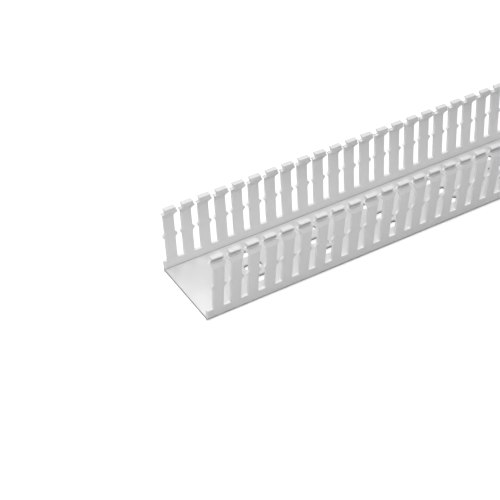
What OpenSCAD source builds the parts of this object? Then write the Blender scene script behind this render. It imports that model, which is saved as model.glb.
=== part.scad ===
// Slotted wire duct: open U channel in rigid PVC, with punched fingers on
// both walls, wire-restrictor teeth in the slots, stepped-in fingertips with
// a grooved lip for a clip cover, and rows of oblong fixing holes in the base.
// All dimensions in millimetres. +X runs along the duct, +Z is up,
// the origin is the centre of the underside.

/* [Stock] */
// Length of the stick, a whole number of pitches
duct_length = 1000; // [250:12.5:1250]
// Outside width across the base
base_width = 56; // [40:1:100]
// Height over the fingertip lips
duct_height = 48.6; // [44:0.2:80]
// Outward lean of each wall, measured from vertical (degrees)
wall_splay = 4.5; // [0:0.5:6]

/* [Section] */
// Thickness of the walls and fingers
wall_t = 2.1; // [1.5:0.1:2.5]
// Thickness of the base
base_t = 1.9; // [1.5:0.1:2.5]
// Width and depth of the relief line along each inside corner
corner_relief = 0.5; // [0.2:0.1:0.8]
// Radius of the outside bottom corners
corner_radius = 1.5; // [0.5:0.1:2.5]

/* [Fingertip section] */
// Depth below the lip top at which the outside of the finger turns inwards
shoulder_drop = 6.8; // [6.2:0.1:8]
// Height of the sloping face above the shoulder
slope_rise = 2.8; // [2:0.1:3.2]
// Distance the sloping face runs inwards
slope_in = 1.7; // [1:0.1:2.4]
// Distance the neck stands in from the wall face, at the back of the groove
step_in = 3.6; // [3:0.1:4.4]
// Rise of the groove floor from the sloping face to the neck
groove_rise = 0.3; // [0.1:0.1:0.5]
// Thickness of the neck under the lip
neck_t = 1.8; // [1.4:0.1:2.2]
// Overhang of the lip beyond the neck on the outside
lip_out = 1.6; // [0.8:0.1:2]
// Overhang of the lip beyond the neck on the inside
lip_in = 0.4; // [0.2:0.1:0.8]
// Depth of the lip from its top to the neck
lip_depth = 2.0; // [1.7:0.1:2.6]
// Height of the upright edge of the lip
lip_edge = 0.6; // [0.4:0.1:1]
// How far the inside turns inwards below the outside shoulder
inside_lead = 1.5; // [0.8:0.1:2.2]
// Height of the inside slope
inside_rise = 5.3; // [4.6:0.1:5.5]

/* [Punching] */
// Spacing of the fingers along the duct
pitch = 12.5; // [10:0.5:20]
// Width of the slot between two fingers
slot_width = 5.2; // [4:0.1:7]
// Height of the slot floor above the underside
slot_floor = 7.6; // [6:0.1:12]
// First finger centre from the cut end, right-hand wall (-Y)
right_start = 7.9; // [0:0.1:12]
// First finger centre from the cut end, left-hand wall (+Y)
left_start = 6.2; // [0:0.1:12]
// Height of the restrictor teeth above the underside
tooth_level = 26; // [20:0.5:30]
// Height of a restrictor tooth at its root
tooth_root = 4.2; // [3:0.1:6]
// Height of the blunt end of a restrictor tooth
tooth_tip = 0.5; // [0.2:0.1:1]
// Gap left between two facing teeth
tooth_gap = 1.8; // [1.2:0.1:3]
// Gap left between two facing fingertip heads
head_gap = 1.6; // [1.2:0.1:3]
// How far the heads start to flare below the outside shoulder
flare_lead = 0.4; // [0:0.1:1.5]
// Height over which a head flares out
flare_rise = 2.6; // [1.5:0.1:3]
// Height of the blunt side of a head
head_side = 0.7; // [0.3:0.1:0.9]
// Height of the funnel from a head in to its lip
funnel_rise = 1.1; // [0.5:0.1:1.3]
// Length of the lip on each fingertip
lip_length = 8.0; // [6:0.1:10]

/* [Fixing holes] */
// Width of an oblong fixing hole
hole_width = 5.5; // [4:0.1:7]
// Length of an oblong fixing hole
hole_length = 12.5; // [8:0.5:20]
// Spacing of the holes along the duct
hole_pitch = 50; // [25:12.5:100]
// Spacing between the three rows of holes
row_spacing = 12.5; // [10:0.5:14]

/* [Hidden] */
lean = tan(wall_splay);
shoulder_z = duct_height - shoulder_drop;
slope_z = shoulder_z + slope_rise;
neck_z = slope_z + groove_rise;
inside_z = shoulder_z - inside_lead;
lip_z = duct_height - lip_depth;
edge_z = duct_height - lip_edge;
neck_in = step_in + neck_t;
flare_z = shoulder_z - flare_lead;
head_z = flare_z + flare_rise;
funnel_z = head_z + head_side;
lip_gap = pitch - lip_length;
finger_count = floor(duct_length / pitch);
hole_count = floor(duct_length / hole_pitch) - 1;
corner_steps = 4;
cut_margin = 1;
punch_reach = duct_height * lean + cut_margin;

// Rounded bottom corner, from the underside to the outer wall face.
function corner() = [
    for (i = [0:corner_steps])
        let (turn = 90 * i / corner_steps)
            [corner_radius * (1 - sin(turn)), corner_radius * (1 - cos(turn))]
];

// Half of the section as [distance in from the outer wall face, height],
// from the underside up the outside, over the lip and down the inside.
function half_section() = concat(corner(), [
    [0, shoulder_z],
    [slope_in, slope_z],
    [step_in, neck_z],
    [step_in, lip_z],
    [step_in - lip_out, edge_z],
    [step_in - lip_out, duct_height],
    [neck_in + lip_in, duct_height],
    [neck_in + lip_in, edge_z],
    [neck_in, edge_z - lip_in],
    [neck_in, inside_z + inside_rise],
    [wall_t, inside_z],
    [wall_t, base_t - corner_relief],
    [wall_t + corner_relief, base_t - corner_relief],
    [wall_t + corner_relief, base_t]
]);

function side(points, sign) = [
    for (p = points) [sign * (base_width / 2 - p[0] + p[1] * lean), p[1]]
];

function reversed(list) = [for (i = [len(list) - 1:-1:0]) list[i]];

module section() {
    polygon(concat(side(half_section(), 1), reversed(side(half_section(), -1))));
}

// Outline of one slot, centred on x = 0, from its floor to past the lips.
function slot_half() = [
    [slot_width / 2, slot_floor],
    [slot_width / 2, tooth_level - tooth_root / 2],
    [tooth_gap / 2, tooth_level - tooth_tip / 2],
    [tooth_gap / 2, tooth_level + tooth_tip / 2],
    [slot_width / 2, tooth_level + tooth_root / 2],
    [slot_width / 2, flare_z],
    [head_gap / 2, head_z],
    [head_gap / 2, funnel_z],
    [lip_gap / 2, funnel_z + funnel_rise],
    [lip_gap / 2, duct_height + cut_margin]
];

module slot_outline() {
    polygon(concat(slot_half(), reversed([for (p = slot_half()) [-p[0], p[1]]])));
}

// Past the last slot at a cut end nothing is left standing above the slot floor.
module end_trim(reach) {
    translate([0, slot_floor])
        square([reach, duct_height + cut_margin - slot_floor]);
}

// The punched slots of one wall, with slot centres half a pitch off the fingers.
module slots(start, y_from, y_to) {
    first = start - pitch / 2;
    last = first + finger_count * pitch;
    translate([-duct_length / 2, y_to, 0])
        rotate([90, 0, 0])
            linear_extrude(height = y_to - y_from) {
                for (i = [0:finger_count])
                    translate([first + i * pitch, 0]) slot_outline();
                if (first > 0)
                    translate([-cut_margin, 0]) end_trim(first + cut_margin);
                if (last < duct_length)
                    translate([last, 0]) end_trim(duct_length - last + cut_margin);
            }
}

module fixing_hole() {
    linear_extrude(height = base_t + 2 * cut_margin) {
        square([hole_length - hole_width, hole_width], center = true);
        for (s = [-1, 1])
            translate([s * (hole_length - hole_width) / 2, 0])
                circle(d = hole_width, $fn = 48);
    }
}

module fixing_holes() {
    for (i = [1:hole_count], row = [-1:1])
        translate([-duct_length / 2 + i * hole_pitch, row * row_spacing, -cut_margin])
            fixing_hole();
}

module duct() {
    color([0.80, 0.81, 0.80])
        difference() {
            translate([-duct_length / 2, 0, 0])
                rotate([90, 0, 90])
                    linear_extrude(height = duct_length)
                        section();
            slots(right_start, -base_width / 2 - punch_reach, -base_width / 4);
            slots(left_start, base_width / 4, base_width / 2 + punch_reach);
            fixing_holes();
        }
}

duct();
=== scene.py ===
"""Dress the slotted wire duct: an open U channel in rigid PVC with punched walls.

The channel and its fingers are rebuilt with eased edges over the fixed frame, given a
procedural PVC finish, and set on a pale floor under soft studio light. Metres throughout,
in the frame's own axes: +X along the duct, +Y across it, +Z up.
"""
import logging
import math
from dataclasses import dataclass, field
from enum import Enum
from typing import Any, Iterable, Sequence

import bmesh
import bpy
from mathutils import Matrix, Vector


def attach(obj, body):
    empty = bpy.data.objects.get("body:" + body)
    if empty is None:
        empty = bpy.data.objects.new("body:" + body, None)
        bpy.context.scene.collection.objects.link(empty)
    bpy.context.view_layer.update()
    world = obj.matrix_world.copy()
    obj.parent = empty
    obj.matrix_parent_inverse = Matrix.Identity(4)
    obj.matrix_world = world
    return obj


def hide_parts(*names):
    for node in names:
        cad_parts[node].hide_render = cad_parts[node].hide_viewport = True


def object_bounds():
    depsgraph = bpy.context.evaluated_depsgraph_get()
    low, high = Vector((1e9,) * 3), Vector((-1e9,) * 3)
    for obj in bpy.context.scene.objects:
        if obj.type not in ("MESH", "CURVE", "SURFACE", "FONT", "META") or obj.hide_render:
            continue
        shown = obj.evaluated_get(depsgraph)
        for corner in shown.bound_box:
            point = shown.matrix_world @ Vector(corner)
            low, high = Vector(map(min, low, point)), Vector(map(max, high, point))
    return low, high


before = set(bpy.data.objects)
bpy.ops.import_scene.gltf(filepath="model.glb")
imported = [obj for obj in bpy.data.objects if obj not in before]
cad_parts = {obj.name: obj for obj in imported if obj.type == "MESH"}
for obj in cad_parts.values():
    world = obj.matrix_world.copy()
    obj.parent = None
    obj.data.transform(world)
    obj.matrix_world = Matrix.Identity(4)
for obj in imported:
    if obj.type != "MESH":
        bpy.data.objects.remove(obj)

LOG = logging.getLogger("wire_duct")
CAD_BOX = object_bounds()

MM = 0.001
WELD = 0.001 * MM
SAME = 0.0001 * MM

Point2 = tuple[float, float]
Point3 = tuple[float, float, float]
Colour = tuple[float, float, float, float]

BLACK: Colour = (0.0, 0.0, 0.0, 1.0)
WHITE: Colour = (1.0, 1.0, 1.0, 1.0)


class Wall(Enum):
    """The two punched walls, by the side of the duct that they stand on."""

    RIGHT = -1
    LEFT = 1


class Mark(Enum):
    """Face attributes that the finish reads."""

    CUT = "cut_face"
    EASED = "eased_edge"
    # faces painted darker as shade: the groove under the lip, its ledge and the base relief
    GROOVE_SHADE = "painted_groove_shade"


# ------------------------------------------------------------------ shader maths


class Signal:
    """A socket in a node tree, with the arithmetic that the finishes use."""

    def __init__(self, shader: "ShaderTree", socket: bpy.types.NodeSocket) -> None:
        """Wrap a socket.

        Args:
            shader: The tree that new maths nodes are added to.
            socket: The output socket that carries the value.
        """
        self.shader = shader
        self.socket = socket

    def _math(self, operation: str, *values: "Signal | float") -> "Signal":
        """Add one Math node.

        Args:
            operation: The node's operation.
            values: Its inputs in order, as signals or numbers.

        Returns:
            The node's result.
        """
        return self.shader.node("ShaderNodeMath", {"operation": operation}, dict(enumerate(values)))

    def __add__(self, other: "Signal | float") -> "Signal":
        """Sum of two signals."""
        return self._math("ADD", self, other)

    def __radd__(self, other: float) -> "Signal":
        """Sum of a number and this signal."""
        return self._math("ADD", other, self)

    def __sub__(self, other: "Signal | float") -> "Signal":
        """Difference of two signals."""
        return self._math("SUBTRACT", self, other)

    def __rsub__(self, other: float) -> "Signal":
        """A number less this signal."""
        return self._math("SUBTRACT", other, self)

    def __mul__(self, other: "Signal | float") -> "Signal":
        """Product of two signals."""
        return self._math("MULTIPLY", self, other)

    def __rmul__(self, other: float) -> "Signal":
        """Product of a number and this signal."""
        return self._math("MULTIPLY", other, self)

    def absolute(self) -> "Signal":
        """This signal without its sign."""
        return self._math("ABSOLUTE", self)

    def greatest(self, other: "Signal | float") -> "Signal":
        """The greater of two signals."""
        return self._math("MAXIMUM", self, other)

    def clamp(self) -> "Signal":
        """This signal held between 0 and 1."""
        return self._math("MAXIMUM", self._math("MINIMUM", self, 1.0), 0.0)

    def ramp(self, start: float, end: float) -> "Signal":
        """Turn this signal into a share of the way from one value to another.

        Args:
            start: The value that gives 0, and end may lie below it.
            end: The value that gives 1.

        Returns:
            The share, held level past both ends.
        """
        return ((self - start) * (1.0 / (end - start))).clamp()


@dataclass(frozen=True)
class Noise:
    """Settings of one noise texture: its waves in a metre, finer layers and their strength."""

    per_metre: float
    detail: float
    roughness: float


class ShaderTree:
    """Builds one node tree, one node at a time."""

    def __init__(self, tree: bpy.types.NodeTree) -> None:
        """Start with an empty tree.

        Args:
            tree: The tree to fill.
        """
        self.tree = tree
        tree.nodes.clear()

    def _add(self, kind: str, settings: dict[str, Any], inputs: dict[str | int, Any]) -> bpy.types.Node:
        """Add a node, set it up and wire its inputs.

        Args:
            kind: The node's type name.
            settings: Properties, set first.
            inputs: Values or signals by socket name or number.

        Returns:
            The node.
        """
        made = self.tree.nodes.new(kind)
        for name, value in settings.items():
            setattr(made, name, value)
        for name, value in inputs.items():
            target = made.inputs[name]
            if isinstance(value, Signal):
                self.tree.links.new(value.socket, target)
            else:
                target.default_value = value
        return made

    def node(self, kind: str, settings: dict[str, Any] | None = None,
             inputs: dict[str | int, Any] | None = None, output: str | int = 0) -> Signal:
        """Add a node and read one of its outputs.

        Args:
            kind: The node's type name.
            settings: Properties, set first.
            inputs: Values or signals by socket name or number.
            output: The socket that the result reads.

        Returns:
            The chosen output as a signal.
        """
        return Signal(self, self._add(kind, settings or {}, inputs or {}).outputs[output])

    def close(self, kind: str, surface: Signal) -> None:
        """Add the tree's output node.

        Args:
            kind: The output node's type name.
            surface: The shader that it shows.
        """
        self._add(kind, {}, {"Surface": surface})

    def mark(self, mark: Mark) -> Signal:
        """Read one of the face attributes.

        Args:
            mark: Which one.

        Returns:
            Its value.
        """
        return self.node("ShaderNodeAttribute", {"attribute_name": mark.value}, output="Fac")

    def noise(self, place: Signal, kind: Noise) -> Signal:
        """Add a noise texture.

        Args:
            place: The coordinates that it is read at.
            kind: Its settings.

        Returns:
            The noise, about 0.5 on average.
        """
        return self.node("ShaderNodeTexNoise", {}, {
            "Vector": place, "Scale": kind.per_metre, "Detail": kind.detail, "Roughness": kind.roughness})

    def mix(self, factor: Signal | float, low: Signal | Colour, high: Signal | Colour) -> Signal:
        """Mix two colours.

        Args:
            factor: 0 gives low, 1 gives high.
            low: The first colour.
            high: The second colour.

        Returns:
            The mixed colour.
        """
        return self.node("ShaderNodeMix", {"data_type": "RGBA"}, {0: factor, 6: low, 7: high}, 2)


# ------------------------------------------------------------------ finishes


@dataclass(frozen=True)
class RigidPvc:
    """Extruded light grey PVC, satin, with drawn lines along it and paler punched cuts.

    Each tint covers the body colour by its own share. Eased edges carry painted edge shade,
    faces deep in grooves carry painted groove shade, and the lowest millimetre, where the duct
    meets the floor, is a painted contact shadow.
    """

    name: str = "pvc_light_grey"
    body: Colour = (0.821, 0.826, 0.823, 1.0)
    deep: Colour = (0.786, 0.791, 0.788, 1.0)
    cut: Colour = (0.845, 0.848, 0.845, 1.0)
    cut_cover: float = 0.8
    # painted edge shade: eased edges darkened as if in shade
    edge_shade: Colour = (0.66, 0.665, 0.66, 1.0)
    edge_shade_cover: float = 0.6
    # painted groove shade: grooves and the base relief darkened as if in shade
    groove_shade: Colour = (0.50, 0.50, 0.49, 1.0)
    groove_shade_cover: float = 0.7
    # painted contact shadow: the darkest tint, over the lowest millimetre where the duct meets the floor
    contact_shadow: Colour = (0.16, 0.16, 0.16, 1.0)
    contact_shadow_cover: float = 0.9
    contact_shadow_foot: float = 0.7 * MM
    contact_shadow_top: float = 1.3 * MM
    draw_lines: Noise = Noise(900.0, 3.0, 0.6)
    draw_stretch: float = 0.012
    clouds: Noise = Noise(14.0, 2.0, 0.5)
    grain: Noise = Noise(2600.0, 2.0, 0.6)
    line_tone: float = 0.5
    cloud_tone: float = 0.7
    roughness: float = 0.42
    line_roughness: float = 0.10
    grain_roughness: float = 0.06
    cut_roughness: float = 0.16
    contact_shadow_roughness: float = 0.5
    line_relief: float = 0.5
    grain_relief: float = 0.25
    cut_relief: float = 0.9
    bump_strength: float = 0.16
    bump_depth: float = 0.2 * MM
    ior: float = 1.53

    def material(self) -> bpy.types.Material:
        """Build the material.

        Returns:
            The finished material.
        """
        made = bpy.data.materials.new(self.name)
        made.use_nodes = True
        made.diffuse_color = self.body
        shader = ShaderTree(made.node_tree)
        place = shader.node("ShaderNodeTexCoord", output="Object")
        drawn = shader.node("ShaderNodeMapping", {}, {
            "Vector": place, "Scale": (self.draw_stretch, 1.0, 1.0)})
        lines = shader.noise(drawn, self.draw_lines)
        clouds = shader.noise(place, self.clouds)
        grain = shader.noise(place, self.grain)
        cut = shader.mark(Mark.CUT)
        height = shader.node("ShaderNodeSeparateXYZ", {}, {"Vector": place}, "Z")
        # painted contact shadow band: 1 at its foot, fading to 0 at its top
        contact_shadow_mask = height.ramp(self.contact_shadow_top, self.contact_shadow_foot)
        skin = 1.0 - cut
        tone = (0.5 + (lines - 0.5) * self.line_tone * skin + (clouds - 0.5) * self.cloud_tone).clamp()
        colour = shader.mix(tone, self.deep, self.body)
        colour = shader.mix((cut * self.cut_cover).clamp(), colour, self.cut)
        # painted edge shade on the eased edges
        colour = shader.mix(shader.mark(Mark.EASED) * self.edge_shade_cover, colour, self.edge_shade)
        # painted groove shade in the groove under the lip, on its ledge and in the base relief
        colour = shader.mix(shader.mark(Mark.GROOVE_SHADE) * self.groove_shade_cover, colour, self.groove_shade)
        # painted contact shadow over the lowest millimetre, where the duct meets the floor
        colour = shader.mix(contact_shadow_mask * self.contact_shadow_cover, colour, self.contact_shadow)
        rough = (self.roughness + (lines - 0.5) * self.line_roughness * skin
                 + (grain - 0.5) * self.grain_roughness + cut * self.cut_roughness
                 + contact_shadow_mask * self.contact_shadow_roughness).clamp()
        relief = lines * skin * self.line_relief + grain * (self.grain_relief + cut * self.cut_relief)
        bump = shader.node("ShaderNodeBump", {}, {
            "Strength": self.bump_strength, "Distance": self.bump_depth, "Height": relief})
        surface = shader.node("ShaderNodeBsdfPrincipled", {}, {
            "Base Color": colour, "Roughness": rough, "Normal": bump, "IOR": self.ior})
        shader.close("ShaderNodeOutputMaterial", surface)
        return made


@dataclass(frozen=True)
class StudioFloor:
    """A pale sweep that reads white to the camera and keeps the duct's shadow.

    A glow that only the camera sees lifts it to white. The glow grows further out, and it is
    left off in a narrow strip where each long edge of the duct touches the floor.
    """

    name: str = "studio_floor"
    paint: Colour = (0.80, 0.80, 0.80, 1.0)
    near_glow: Colour = (0.5, 0.5, 0.5, 1.0)
    far_glow: Colour = WHITE
    far_from: float = 150 * MM
    far_to: float = 900 * MM
    contact: float = 27.3 * MM
    contact_reach: float = 1.3 * MM
    contact_half_length: float = 500 * MM

    def material(self) -> bpy.types.Material:
        """Build the material.

        Returns:
            The finished material.
        """
        made = bpy.data.materials.new(self.name)
        made.use_nodes = True
        shader = ShaderTree(made.node_tree)
        place = shader.node("ShaderNodeTexCoord", output="Object")
        across = shader.node("ShaderNodeSeparateXYZ", {}, {"Vector": place}, "Y").absolute()
        along = shader.node("ShaderNodeSeparateXYZ", {}, {"Vector": place}, "X").absolute()
        past_end = along - self.contact_half_length
        far = across.greatest(past_end).ramp(self.far_from, self.far_to)
        beside = (across - self.contact).absolute().greatest(past_end)
        off_contact = beside.ramp(0.0, self.contact_reach)
        light = shader.mix(off_contact, BLACK, shader.mix(far, self.near_glow, self.far_glow))
        plain = shader.node("ShaderNodeBsdfDiffuse", {}, {"Color": self.paint})
        glow = shader.node("ShaderNodeEmission", {}, {"Color": light})
        lifted = shader.node("ShaderNodeAddShader", {}, {0: plain, 1: glow})
        camera = shader.node("ShaderNodeLightPath", output="Is Camera Ray")
        surface = shader.node("ShaderNodeMixShader", {}, {0: camera, 1: plain, 2: lifted})
        shader.close("ShaderNodeOutputMaterial", surface)
        return made


# ------------------------------------------------------------------ meshes


@dataclass
class Solid:
    """Collects faces by corner positions, then welds them into one closed mesh."""

    corners: list[Point3] = field(default_factory=list)
    faces: list[list[int]] = field(default_factory=list)
    cut: list[float] = field(default_factory=list)
    eased: list[float] = field(default_factory=list)
    groove_shade: list[float] = field(default_factory=list)

    def face(self, points: Iterable[Point3], cut: float = 0.0, eased: float = 0.0,
             groove_shade: float = 0.0) -> None:
        """Add one face.

        Args:
            points: Its corners in order.
            cut: 1 where a punch or a saw made the face.
            eased: 1 where the face is a broken edge.
            groove_shade: 1 where the face lies deep in a groove and is painted darker as shade.
        """
        start = len(self.corners)
        self.corners.extend(points)
        self.faces.append(list(range(start, len(self.corners))))
        self.cut.append(cut)
        self.eased.append(eased)
        self.groove_shade.append(groove_shade)

    def band(self, low: Sequence[Point3], high: Sequence[Point3], closed: bool = True,
             cut: Sequence[float] | float = 0.0, eased: Sequence[float] | float = 0.0,
             groove_shade: Sequence[float] | float = 0.0) -> None:
        """Add a strip of faces between two loops with the same number of points.

        Args:
            low: The first loop.
            high: The second loop.
            closed: Whether the last point joins the first.
            cut: The punched mark, one value or one for each face.
            eased: The broken-edge mark, one value or one for each face.
            groove_shade: The painted groove shade mark, one value or one for each face.
        """
        count = len(low)
        for i in range(count if closed else count - 1):
            j = (i + 1) % count
            self.face((low[i], low[j], high[j], high[i]),
                      cut if isinstance(cut, float) else cut[i],
                      eased if isinstance(eased, float) else eased[i],
                      groove_shade if isinstance(groove_shade, float) else groove_shade[i])

    def mesh(self, name: str, recalculate: bool = True) -> bpy.types.Mesh:
        """Weld the faces into a mesh.

        Args:
            name: The mesh's name.
            recalculate: Whether to turn the faces outwards.

        Returns:
            The mesh, with the marks as face attributes.
        """
        work = bmesh.new()
        cut_layer = work.faces.layers.float.new(Mark.CUT.value)
        eased_layer = work.faces.layers.float.new(Mark.EASED.value)
        groove_shade_layer = work.faces.layers.float.new(Mark.GROOVE_SHADE.value)
        verts = [work.verts.new(p) for p in self.corners]
        for indices, cut, eased, groove_shade in zip(self.faces, self.cut, self.eased, self.groove_shade):
            made = work.faces.new([verts[i] for i in indices])
            made[cut_layer] = cut
            made[eased_layer] = eased
            made[groove_shade_layer] = groove_shade
        bmesh.ops.remove_doubles(work, verts=work.verts, dist=WELD)
        bmesh.ops.dissolve_degenerate(work, edges=work.edges, dist=WELD)
        if recalculate:
            bmesh.ops.recalc_face_normals(work, faces=work.faces)
        mesh = bpy.data.meshes.new(name)
        work.to_mesh(mesh)
        work.free()
        return mesh


@dataclass
class DuctSection:
    """The extruded section: leaning walls with a stepped tip and a lip for the cover.

    Names that end in foot, top, root, shoulder, floor or edge are heights above the underside.
    """

    length: float = 1000 * MM
    base_width: float = 56 * MM
    height: float = 48.6 * MM
    lean: float = math.tan(math.radians(4.5))
    wall: float = 2.1 * MM
    base: float = 1.9 * MM
    relief: float = 0.5 * MM
    corner: float = 1.5 * MM
    shoulder: float = 41.8 * MM
    slope_top: float = 44.6 * MM
    slope_in: float = 1.7 * MM
    neck_foot: float = 44.9 * MM
    step_in: float = 3.6 * MM
    inner_shoulder: float = 40.3 * MM
    inner_neck_foot: float = 45.6 * MM
    neck: float = 1.8 * MM
    lip_out: float = 1.6 * MM
    lip_in: float = 0.4 * MM
    lip_root: float = 46.6 * MM
    inner_lip_root: float = 47.6 * MM
    lip_edge: float = 48.0 * MM
    slot_floor: float = 7.6 * MM

    def outer_step(self, z: float) -> float:
        """How far the outer face is set in at a height.

        Args:
            z: The height.

        Returns:
            The distance in from the plane of the wall.
        """
        return piecewise(z, ((self.shoulder, 0.0), (self.slope_top, self.slope_in),
                             (self.neck_foot, self.step_in), (self.lip_root, self.step_in),
                             (self.lip_edge, self.step_in - self.lip_out)))

    def inner_step(self, z: float) -> float:
        """How far the inner face lies in at a height.

        Args:
            z: The height.

        Returns:
            The distance in from the plane of the wall's outer face.
        """
        neck = self.step_in + self.neck
        return piecewise(z, ((self.inner_shoulder, self.wall), (self.inner_neck_foot, neck),
                             (self.inner_lip_root, neck), (self.lip_edge, neck + self.lip_in)))

    def across(self, inset: float, z: float, wall: Wall) -> float:
        """Position across the duct of a point on a wall.

        Args:
            inset: Distance in from the outer face.
            z: The height.
            wall: Which wall.

        Returns:
            The Y coordinate.
        """
        return wall.value * (self.base_width / 2 - inset + z * self.lean)


def piecewise(z: float, knots: Sequence[Point2]) -> float:
    """Read a value off straight lines between knots, held level past both ends.

    Args:
        z: Where to read.
        knots: Position and value of each knot, in order.

    Returns:
        The value.
    """
    if z <= knots[0][0]:
        return knots[0][1]
    for (z0, v0), (z1, v1) in zip(knots, knots[1:]):
        if z <= z1:
            return v0 + (v1 - v0) * (z - z0) / (z1 - z0)
    return knots[-1][1]


@dataclass
class Finger:
    """One punched finger with its restrictor teeth, head and lip.

    Its upright edges are broken by ease and its top by crown_tuck. Below the slot floor a peg,
    drawn in by peg_tuck, sinks into the strip, and down there the edges are broken by a hair.
    """

    section: DuctSection
    pitch: float = 12.5 * MM
    slot: float = 5.2 * MM
    tooth_level: float = 26.0 * MM
    tooth_root: float = 4.2 * MM
    tooth_tip: float = 0.5 * MM
    tooth_gap: float = 1.8 * MM
    head_gap: float = 1.6 * MM
    flare_foot: float = 41.4 * MM
    flare_rise: float = 2.6 * MM
    head_side: float = 0.7 * MM
    funnel_rise: float = 1.1 * MM
    lip_length: float = 8.0 * MM
    ease: float = 0.15 * MM
    crown_tuck: float = 0.12 * MM
    hair: float = 0.02 * MM
    peg: float = 1.2 * MM
    peg_tuck: float = 0.05 * MM
    edge_cut: float = 0.3
    # strengths of the painted shade on the ledge and in the groove under the lip
    ledge_shade: float = 0.45
    under_lip_shade: float = 0.85

    def half_widths(self) -> list[Point2]:
        """Height and half width of the finger at each of its corners, going up.

        Returns:
            The outline of one side.
        """
        shank = (self.pitch - self.slot) / 2
        tooth = (self.pitch - self.tooth_gap) / 2
        head = (self.pitch - self.head_gap) / 2
        head_foot = self.flare_foot + self.flare_rise
        head_top = head_foot + self.head_side
        s = self.section
        return [
            (s.slot_floor, shank),
            (s.slot_floor + self.ease, shank),
            (self.tooth_level - self.tooth_root / 2, shank),
            (self.tooth_level - self.tooth_tip / 2, tooth),
            (self.tooth_level + self.tooth_tip / 2, tooth),
            (self.tooth_level + self.tooth_root / 2, shank),
            (self.flare_foot, shank),
            (head_foot, head),
            (head_top, head),
            (head_top + self.funnel_rise, self.lip_length / 2),
            (s.height - self.ease, self.lip_length / 2),
        ]

    def levels(self) -> list[float]:
        """Heights at which the finger's section changes.

        Returns:
            The heights, going up.
        """
        s = self.section
        heights = [z for z, _ in self.half_widths()]
        heights += [s.inner_shoulder, s.shoulder, s.slope_top, s.neck_foot,
                    s.inner_neck_foot, s.lip_root, s.inner_lip_root, s.lip_edge]
        return sorted({round(z / SAME) * SAME for z in heights})

    def ring(self, z: float, wall: Wall, ease: float, limit: float, tuck: float = 0.0) -> list[Point3]:
        """Eight corners of the finger's outline at one height.

        Args:
            z: The height.
            wall: Which wall.
            ease: How far each corner is broken.
            limit: Largest reach towards +X, where a saw cut ends the stock.
            tuck: How far the outline is drawn in all round.

        Returns:
            The corners in order round the finger.
        """
        s = self.section
        width = piecewise(z, self.half_widths()) - tuck
        left, right = -width, min(width, limit)
        outer = s.across(s.outer_step(z) + tuck, z, wall)
        inner = s.across(s.inner_step(z) - tuck, z, wall)
        step = ease * wall.value
        return [
            (left + ease, outer, z), (right - ease, outer, z),
            (right, outer - step, z), (right, inner + step, z),
            (right - ease, inner, z), (left + ease, inner, z),
            (left, inner + step, z), (left, outer - step, z),
        ]

    def groove_shade_at(self, z: float) -> float:
        """How much painted shade the outer face gets at a height.

        Args:
            z: The height.

        Returns:
            0 on an open face, up to 1 deep in the groove under the lip, where the painted shade is darkest.
        """
        s = self.section
        if s.slope_top < z < s.neck_foot:
            return self.ledge_shade
        return self.under_lip_shade if s.neck_foot < z < s.lip_edge else 0.0

    def mesh(self, name: str, wall: Wall, limit: float = math.inf) -> bpy.types.Mesh:
        """Build the finger, standing on the slot floor with a short peg below it.

        Args:
            name: The mesh's name.
            wall: Which wall it stands in.
            limit: Largest reach towards +X.

        Returns:
            The mesh, centred on x = 0.
        """
        s = self.section
        solid = Solid()
        rings = [self.ring(s.slot_floor - drop, wall, self.hair, limit, self.peg_tuck)
                 for drop in (self.peg, self.peg_tuck)]
        for z in self.levels():
            rings.append(self.ring(z, wall, self.hair if z <= s.slot_floor + SAME else self.ease, limit))
        rings.append(self.ring(s.height, wall, self.ease, limit, self.crown_tuck))
        # round the finger: outer face, edge, punched side, edge, inner face, edge, punched side, edge
        cut = [0.0, self.edge_cut, 1.0, self.edge_cut] * 2
        eased = [0.0, 1.0] * 4
        for low, high in zip(rings, rings[1:]):
            # painted groove shade on the outer face and its two eased corners
            deep = self.groove_shade_at((low[0][2] + high[0][2]) / 2)
            solid.band(low, high, True, cut, eased, [deep, deep, 0.0, 0.0, 0.0, 0.0, 0.0, deep])
        solid.face(reversed(rings[0]))
        solid.face(rings[-1])
        return solid.mesh(name)


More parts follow.
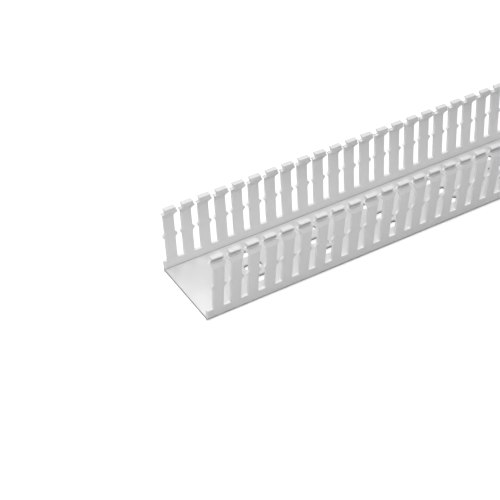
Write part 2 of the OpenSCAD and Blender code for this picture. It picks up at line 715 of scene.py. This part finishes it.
@dataclass
class Channel:
    """The unpunched lower part: base with its fixing holes, and a low strip on each side."""

    section: DuctSection
    hole_width: float = 5.5 * MM
    hole_length: float = 12.5 * MM
    hole_pitch: float = 50.0 * MM
    row_spacing: float = 12.5 * MM
    rim: float = 0.2 * MM
    rim_cut: float = 0.5
    arc_steps: int = 5
    corner_steps: int = 4

    def rows(self) -> list[float]:
        """Y of the middle of each row of holes."""
        return [-self.row_spacing, 0.0, self.row_spacing]

    def seams(self) -> list[float]:
        """Y of the lines that part the base into rows, edge to edge.

        Returns:
            The positions, going towards +Y.
        """
        s = self.section
        edge = s.across(s.wall + s.relief, s.base, Wall.LEFT)
        return [-edge, -self.row_spacing / 2, self.row_spacing / 2, edge]

    def stops(self) -> list[float]:
        """Y of every corner that the base carries along a section cut."""
        return sorted(self.seams() + self.rows())

    def flank(self, wall: Wall) -> list[Point2]:
        """Section of one side strip, from the base's top round to its underside.

        Args:
            wall: Which side.

        Returns:
            Y and Z of each corner.
        """
        s = self.section
        relief_side, relief_floor = s.wall + s.relief, s.base - s.relief
        corners = [(relief_side, s.base), (relief_side, relief_floor), (s.wall, relief_floor),
                   (s.wall, s.base), (s.wall, s.slot_floor), (0.0, s.slot_floor)]
        for i in range(self.corner_steps + 1):
            turn = math.pi / 2 * i / self.corner_steps
            corners.append((s.corner * (1 - math.cos(turn)), s.corner * (1 - math.sin(turn))))
        points = [(s.across(inset, z, wall), z) for inset, z in corners]
        return points + [(points[0][0], 0.0)]

    def oblong(self, y: float, z: float, grow: float = 0.0) -> list[Point3]:
        """Outline of one fixing hole.

        Args:
            y: Middle of its row.
            z: The height.
            grow: How far the outline is let out.

        Returns:
            The corners in order, starting at the -X end and going by +Y.
        """
        radius = self.hole_width / 2 + grow
        reach = (self.hole_length - self.hole_width) / 2
        points: list[Point3] = []
        for side, first in ((-1, math.pi), (1, math.pi / 2), (1, 0.0), (-1, -math.pi / 2)):
            for i in range(self.arc_steps + 1):
                turn = first - math.pi / 2 * i / self.arc_steps
                points.append((side * reach + radius * math.cos(turn), y + radius * math.sin(turn), z))
        return points

    def flanks(self, solid: Solid, x0: float, x1: float) -> None:
        """Add the long faces of both side strips.

        Args:
            solid: Where the faces go.
            x0: Where they start.
            x1: Where they end.
        """
        for wall in Wall:
            points = self.flank(wall)
            for a, b in zip(points, points[1:]):
                punched = abs(a[1] - self.section.slot_floor) < SAME and abs(b[1] - a[1]) < SAME
                # the relief groove at the foot of each wall gets painted groove shade
                relief = a in points[:3]
                solid.face(((x0, *a), (x1, *a), (x1, *b), (x0, *b)), 1.0 if punched else 0.0,
                           groove_shade=1.0 if relief else 0.0)

    def pierced(self, name: str) -> bpy.types.Mesh:
        """Build one length of channel round one group of holes, open at both ends.

        Args:
            name: The mesh's name.

        Returns:
            The mesh, centred on x = 0.
        """
        solid = Solid()
        half = self.hole_pitch / 2
        self.flanks(solid, -half, half)
        seams = self.seams()
        for row, low, high in zip(self.rows(), seams, seams[1:]):
            for z, grow in ((self.section.base, self.rim), (0.0, 0.0)):
                rim = self.oblong(row, z, grow)
                split = len(rim) // 2
                upper, lower = rim[:split + 1], rim[split:] + rim[:1]
                solid.face([(-half, row, z), *upper, (half, row, z), (half, high, z), (-half, high, z)])
                solid.face([(half, row, z), *lower, (-half, row, z), (-half, low, z), (half, low, z)])
            top = self.oblong(row, self.section.base, self.rim)
            eased = self.oblong(row, self.section.base - self.rim)
            foot = self.oblong(row, 0.0)
            solid.band(top, eased, True, self.rim_cut, 1.0)
            solid.band(eased, foot, True, 1.0)
        return solid.mesh(name)

    def plain(self, name: str, x0: float, x1: float, capped_low: bool, capped_high: bool) -> bpy.types.Mesh:
        """Build a length of channel with no holes.

        Args:
            name: The mesh's name.
            x0: Where it starts.
            x1: Where it ends.
            capped_low: Whether the saw cut at x0 is closed.
            capped_high: Whether the saw cut at x1 is closed.

        Returns:
            The mesh.
        """
        solid = Solid()
        self.flanks(solid, x0, x1)
        stops = self.stops()
        for z in (self.section.base, 0.0):
            for low, high in zip(stops, stops[1:]):
                solid.face(((x0, low, z), (x1, low, z), (x1, high, z), (x0, high, z)))
        for x, capped in ((x0, capped_low), (x1, capped_high)):
            if capped:
                right = self.flank(Wall.RIGHT)
                left = self.flank(Wall.LEFT)
                loop = left[:-1] + [(y, 0.0) for y in reversed(stops)]
                loop += list(reversed(right[:-1]))[:-1] + [(y, self.section.base) for y in stops[:-1]]
                solid.face([(x, y, z) for y, z in loop], 1.0)
        return solid.mesh(name)


# ------------------------------------------------------------------ repeating


class RowTree:
    """Geometry Nodes that repeat one module along +X and weld the row together."""

    NAME = "row_along_x"

    def __init__(self) -> None:
        """Build the node group with its named inputs."""
        tree = bpy.data.node_groups.new(self.NAME, "GeometryNodeTree")
        face = tree.interface
        face.new_socket("Module", in_out="INPUT", socket_type="NodeSocketGeometry")
        self.sockets: dict[str, str] = {}
        for label, kind in (("Count", "NodeSocketInt"), ("Start", "NodeSocketFloat"),
                            ("Spacing", "NodeSocketFloat"), ("Weld", "NodeSocketFloat"),
                            ("Finish", "NodeSocketMaterial")):
            self.sockets[label] = face.new_socket(label, in_out="INPUT", socket_type=kind).identifier
        face.new_socket("Row", in_out="OUTPUT", socket_type="NodeSocketGeometry")
        self.tree = tree
        self._wire()

    def _add(self, kind: str, **inputs: Any) -> bpy.types.Node:
        """Add a node and fill its inputs.

        Args:
            kind: The node's type name.
            inputs: Sockets to link or values to write, by socket name with _ for a space.

        Returns:
            The node.
        """
        made = self.tree.nodes.new(kind)
        for label, value in inputs.items():
            target = made.inputs[label.replace("_", " ")]
            if isinstance(value, bpy.types.NodeSocket):
                self.tree.links.new(value, target)
            else:
                target.default_value = value
        return made

    def _wire(self) -> None:
        """Lay the nodes: a line of points, one module on each, realized, welded and finished."""
        given = self.tree.nodes.new("NodeGroupInput").outputs
        start = self._add("ShaderNodeCombineXYZ", X=given["Start"])
        offset = self._add("ShaderNodeCombineXYZ", X=given["Spacing"])
        line = self._add("GeometryNodeMeshLine", Count=given["Count"],
                         Start_Location=start.outputs[0], Offset=offset.outputs[0])
        placed = self._add("GeometryNodeInstanceOnPoints", Points=line.outputs[0], Instance=given["Module"])
        real = self._add("GeometryNodeRealizeInstances", Geometry=placed.outputs[0])
        welded = self._add("GeometryNodeMergeByDistance", Geometry=real.outputs[0], Distance=given["Weld"])
        dressed = self._add("GeometryNodeSetMaterial", Geometry=welded.outputs[0], Material=given["Finish"])
        out = self.tree.nodes.new("NodeGroupOutput")
        self.tree.links.new(dressed.outputs[0], out.inputs["Row"])

    def repeat(self, module: bpy.types.Mesh, count: int, start: float, spacing: float,
               finish: bpy.types.Material) -> bpy.types.Mesh:
        """Repeat a module.

        Args:
            module: The mesh to repeat.
            count: How many.
            start: X of the first.
            spacing: Distance from one to the next.
            finish: The material.

        Returns:
            The row as a plain mesh.
        """
        holder = bpy.data.objects.new(module.name + "_holder", module)
        bpy.context.scene.collection.objects.link(holder)
        modifier = holder.modifiers.new("row", "NODES")
        modifier.node_group = self.tree
        values = {"Count": count, "Start": start, "Spacing": spacing, "Weld": WELD, "Finish": finish}
        for label, value in values.items():
            modifier[self.sockets[label]] = value
        graph = bpy.context.evaluated_depsgraph_get()
        mesh = bpy.data.meshes.new_from_object(holder.evaluated_get(graph))
        holder.modifiers.clear()
        bpy.data.objects.remove(holder)
        return mesh


# ------------------------------------------------------------------ the duct


@dataclass
class WireDuct:
    """The whole stick: channel and both rows of fingers, as one dressed piece."""

    section: DuctSection = field(default_factory=DuctSection)
    finish: RigidPvc = field(default_factory=RigidPvc)
    starts: dict[Wall, float] = field(default_factory=lambda: {Wall.RIGHT: 7.9 * MM, Wall.LEFT: 6.2 * MM})

    def build(self) -> bpy.types.Object:
        """Build the piece and hand it to the frame.

        Returns:
            The dressed object.
        """
        material = self.finish.material()
        rows = RowTree()
        finger = Finger(self.section)
        parts: list[bpy.types.Mesh] = self._channel(rows, material)
        for wall in Wall:
            parts.extend(self._fingers(finger, wall, rows, material))
        piece = self._join("duct_body", parts, material)
        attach(piece, "root")
        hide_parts("duct")
        LOG.info("%s: %d faces", piece.name, len(piece.data.polygons))
        return piece

    def _channel(self, rows: RowTree, material: bpy.types.Material) -> list[bpy.types.Mesh]:
        """Make the pierced lengths and the plain ends of the channel.

        Args:
            rows: The repeating tree.
            material: The finish.

        Returns:
            The meshes.
        """
        channel = Channel(self.section)
        half = self.section.length / 2
        count = round(self.section.length / channel.hole_pitch) - 1
        first = -half + channel.hole_pitch
        edge = channel.hole_pitch / 2
        return [
            rows.repeat(channel.pierced("pierced_length"), count, first, channel.hole_pitch, material),
            channel.plain("near_end", -half, first - edge, True, False),
            channel.plain("far_end", -first + edge, half, False, True),
        ]

    def _fingers(self, finger: Finger, wall: Wall, rows: RowTree,
                 material: bpy.types.Material) -> list[bpy.types.Mesh]:
        """Make one wall's fingers.

        Args:
            finger: The finger's sizes.
            wall: Which wall.
            rows: The repeating tree.
            material: The finish.

        Returns:
            The meshes: the row, and the last finger, which the saw cut may trim.
        """
        half = self.section.length / 2
        count = math.floor(self.section.length / finger.pitch)
        first = -half + self.starts[wall]
        last = first + (count - 1) * finger.pitch
        row = rows.repeat(finger.mesh("finger_" + wall.name.lower(), wall), count - 1, first,
                          finger.pitch, material)
        end = finger.mesh("end_finger_" + wall.name.lower(), wall, limit=half - last)
        end.transform(Matrix.Translation((last, 0.0, 0.0)))
        return [row, end]

    @staticmethod
    def _join(name: str, parts: Sequence[bpy.types.Mesh], material: bpy.types.Material) -> bpy.types.Object:
        """Join meshes into one object at the origin.

        Args:
            name: The object's name.
            parts: The meshes.
            material: The finish.

        Returns:
            The object.
        """
        work = bmesh.new()
        for part in parts:
            work.from_mesh(part)
        bmesh.ops.remove_doubles(work, verts=work.verts, dist=WELD)
        mesh = bpy.data.meshes.new(name)
        work.to_mesh(mesh)
        work.free()
        mesh.materials.clear()
        mesh.materials.append(material)
        mesh.polygons.foreach_set("material_index", [0] * len(mesh.polygons))
        mesh.shade_flat()
        piece = bpy.data.objects.new(name, mesh)
        bpy.context.scene.collection.objects.link(piece)
        return piece


# ------------------------------------------------------------------ the studio


def bearing(azimuth: float, elevation: float) -> Vector:
    """Direction towards a bearing.

    Args:
        azimuth: Degrees round from +X towards +Y.
        elevation: Degrees above level.

    Returns:
        The unit vector.
    """
    level, lift = math.radians(azimuth), math.radians(elevation)
    return Vector((math.cos(lift) * math.cos(level), math.cos(lift) * math.sin(level), math.sin(lift)))


@dataclass(frozen=True)
class Softbox:
    """One square area lamp, placed by its bearing from the point that it is aimed at."""

    name: str
    azimuth: float
    elevation: float
    watts: float
    reach: float = 1.9
    side: float = 1.2

    def build(self, aim: Vector) -> bpy.types.Object:
        """Hang the lamp.

        Args:
            aim: The point that it faces.

        Returns:
            The lamp's object.
        """
        lamp = bpy.data.lights.new(self.name, "AREA")
        lamp.shape = "SQUARE"
        lamp.size = self.side
        lamp.energy = self.watts
        made = bpy.data.objects.new(self.name, lamp)
        away = bearing(self.azimuth, self.elevation)
        made.location = aim + away * self.reach
        made.rotation_euler = away.to_track_quat("Z", "Y").to_euler()
        bpy.context.scene.collection.objects.link(made)
        return made


@dataclass
class Studio:
    """Floor, lamps, world and camera, all set out from the duct's near end."""

    near_end: float
    floor: StudioFloor = field(default_factory=StudioFloor)
    floor_reach: float = 6000 * MM
    floor_gap: float = 0.2 * MM
    lamps: tuple[Softbox, ...] = (
        Softbox("front_key", 225.0, 45.0, 20.2),
        Softbox("back_high", 90.0, 70.0, 16.9),
        Softbox("back_low", 90.0, 45.0, 5.5),
        Softbox("front_high", 270.0, 70.0, 2.8),
        Softbox("end_fill", 180.0, 20.0, 1.2),
    )
    aim: Point3 = (120 * MM, 0.0, 20 * MM)
    camera_place: Point3 = (-290.7 * MM, -564.4 * MM, 565.0 * MM)
    camera_azimuth: float = -120.966
    camera_elevation: float = 39.858
    camera_roll: float = -0.605
    lens_mm: float = 97.0
    sensor_mm: float = 36.0

    def build(self) -> None:
        """Set the whole studio up."""
        self._floor()
        for lamp in self.lamps:
            lamp.build(self._from_near_end(self.aim))
        self._world()
        self._camera()

    def _from_near_end(self, place: Point3) -> Vector:
        """Turn a place measured from the near end's foot into one in the frame.

        Args:
            place: The place.

        Returns:
            The same place in the frame.
        """
        return Vector((self.near_end, 0.0, 0.0)) + Vector(place)

    def _floor(self) -> None:
        """Lay a large pale floor just under the duct."""
        reach, level = self.floor_reach, -self.floor_gap
        solid = Solid()
        solid.face(((-reach, -reach, level), (reach, -reach, level),
                    (reach, reach, level), (-reach, reach, level)))
        mesh = solid.mesh("floor", recalculate=False)
        mesh.materials.append(self.floor.material())
        made = bpy.data.objects.new("floor", mesh)
        bpy.context.scene.collection.objects.link(made)

    def _world(self) -> None:
        """Show white behind the duct and in its gloss, and cast no light from it."""
        world = bpy.data.worlds.new("studio_air")
        world.use_nodes = True
        bpy.context.scene.world = world
        shader = ShaderTree(world.node_tree)
        camera, glossy, through = (shader.node("ShaderNodeLightPath", output=f"Is {kind} Ray")
                                   for kind in ("Camera", "Glossy", "Transmission"))
        shown = (camera + glossy + through).clamp()
        sky = shader.node("ShaderNodeBackground", {}, {"Color": WHITE, "Strength": shown})
        shader.close("ShaderNodeOutputWorld", sky)

    def _camera(self) -> None:
        """Set the camera at the wanted angle."""
        lens = bpy.data.cameras.new("camera")
        lens.lens = self.lens_mm
        lens.sensor_width = self.sensor_mm
        made = bpy.data.objects.new("camera", lens)
        bpy.context.scene.collection.objects.link(made)
        back = bearing(self.camera_azimuth, self.camera_elevation)
        turn = back.to_track_quat("Z", "Y").to_matrix().to_4x4()
        turn = turn @ Matrix.Rotation(math.radians(self.camera_roll), 4, "Z")
        made.matrix_world = Matrix.Translation(self._from_near_end(self.camera_place)) @ turn
        bpy.context.scene.camera = made


def main() -> None:
    """Build the duct and the studio."""
    logging.basicConfig(level=logging.INFO, format="%(name)s: %(message)s")
    bpy.context.scene.view_settings.view_transform = "Standard"
    WireDuct().build()
    Studio(near_end=CAD_BOX[0][0]).build()


if __name__ == "__main__":
    main()
